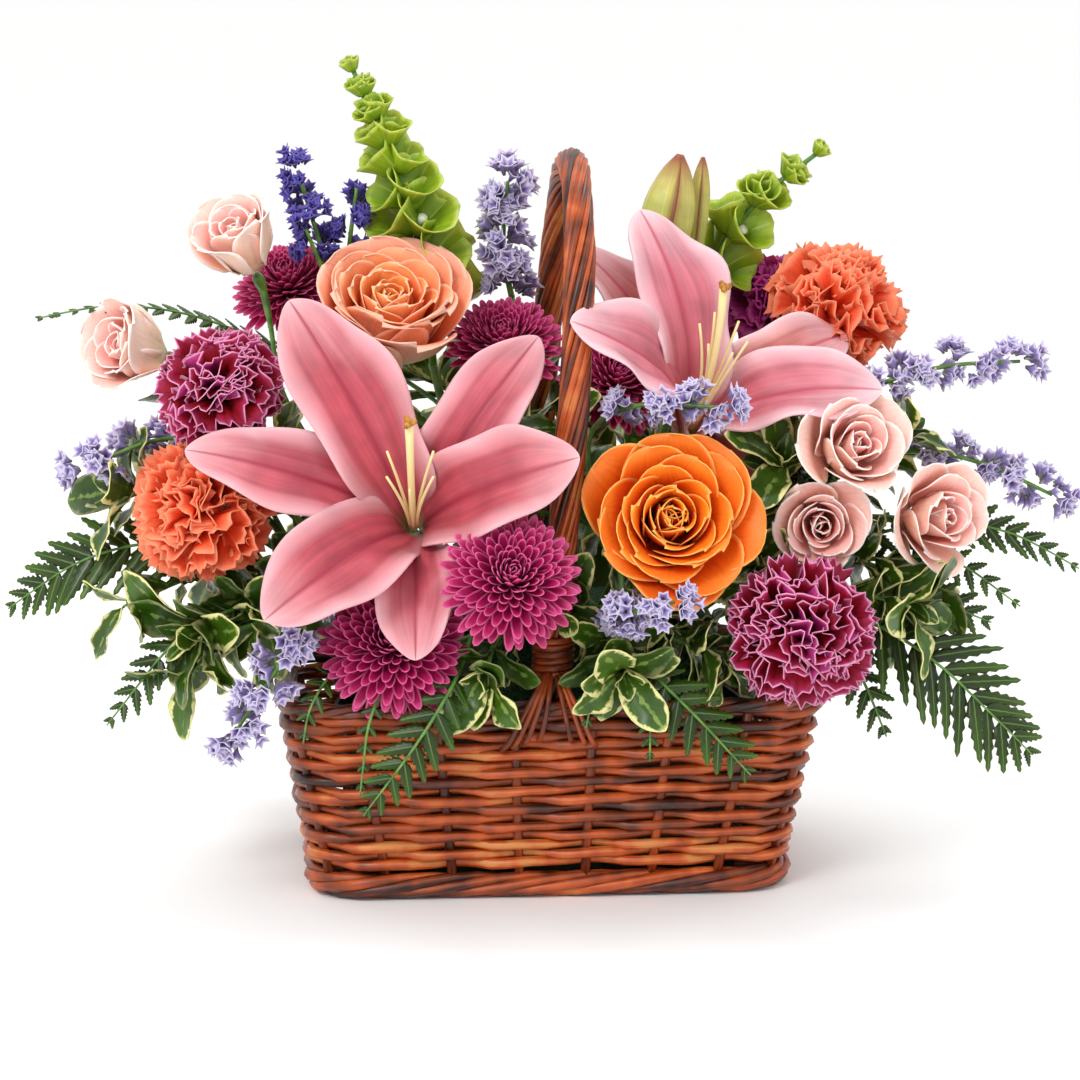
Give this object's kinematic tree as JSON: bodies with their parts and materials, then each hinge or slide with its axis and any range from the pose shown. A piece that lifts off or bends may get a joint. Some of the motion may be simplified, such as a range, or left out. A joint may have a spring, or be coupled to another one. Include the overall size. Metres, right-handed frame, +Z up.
{
  "type": "flower basket arrangement",
  "caption": "Oblong willow basket with a tall rope-twist handle, filled with floral foam that holds lilies, roses, carnations, mums, filler flowers and foliage.",
  "frame": {"origin": "middle of the basket's flat underside, on the surface that it stands on", "axes": "+X along the basket's long side, to the right as seen from the front; +Y away from the front; +Z up"},
  "size_m": [0.4556, 0.2469, 0.3499],
  "materials": {
    "willow": "stained willow cane, satin",
    "liner": "dark green moulded tray",
    "foam": "wet floral foam, matte",
    "lily_petal": "pink petal with a deeper mid vein",
    "lily_pistil": "pale yellow, waxy",
    "lily_bud": "green and bronze, waxy",
    "peach_petal": "peach petal with an orange heart",
    "orange_petal": "orange petal",
    "blush_petal": "pale pink petal",
    "coral_petal": "coral orange ruffled petal",
    "maroon_petal": "dark red petal with a pale frilled edge",
    "magenta_petal": "magenta petal",
    "stem": "green stem",
    "statice_blue": "dark blue papery floret",
    "statice_lavender": "lavender papery floret",
    "apple_green_bract": "apple green cup",
    "fern_leaf": "dark green, semi-gloss",
    "pittosporum_leaf": "green leaf with a cream margin"
  },
  "bodies": {
    "root": {"bells_of_ireland_left": "apple_green_bract", "bells_of_ireland_right": "apple_green_bract", "carnation_1": "coral_petal", "carnation_1_stem": "stem", "carnation_2": "coral_petal", "carnation_2_stem": "stem", "carnation_3": "maroon_petal", "carnation_3_stem": "stem", "carnation_4": "maroon_petal", "carnation_4_stem": "stem", "carnation_5": "magenta_petal", "carnation_5_stem": "stem", "chrysanthemum_1": "magenta_petal", "chrysanthemum_2": "magenta_petal", "chrysanthemum_3": "magenta_petal", "chrysanthemum_4": "magenta_petal", "chrysanthemum_5": "magenta_petal", "chrysanthemum_stem_back": "stem", "chrysanthemum_stem_front": "stem", "fern_back": "fern_leaf", "fern_front_left": "fern_leaf", "fern_front_right": "fern_leaf", "fern_left": "fern_leaf", "fern_right": "fern_leaf", "fern_right_upper": "fern_leaf", "floral_foam": "foam", "handle": "willow", "handle_lashing_back": "willow", "handle_lashing_front": "willow", "lily_1_stamens": "lily_pistil", "lily_1_stem": "stem", "lily_1_tepals": "lily_petal", "lily_2_stamens": "lily_pistil", "lily_2_stem": "stem", "lily_2_tepals": "lily_petal", "lily_bud_large": "lily_bud", "lily_bud_small": "lily_bud", "lily_bud_stem": "stem", "pittosporum_back": "pittosporum_leaf", "pittosporum_front": "pittosporum_leaf", "pittosporum_left": "pittosporum_leaf", "pittosporum_right": "pittosporum_leaf", "plastic_liner": "liner", "rose_1": "peach_petal", "rose_1_stem": "stem", "rose_2": "orange_petal", "rose_2_stem": "stem", "spray_rose_1": "blush_petal", "spray_rose_2": "blush_petal", "spray_rose_3": "blush_petal", "spray_rose_4": "blush_petal", "spray_rose_5": "blush_petal", "spray_rose_stem_left": "stem", "spray_rose_stem_right": "stem", "statice_blue": "statice_blue", "statice_front": "statice_lavender", "statice_left": "statice_lavender", "statice_middle": "statice_lavender", "statice_right": "statice_lavender", "wicker_basket": "willow"}
  },
  "joints": []
}
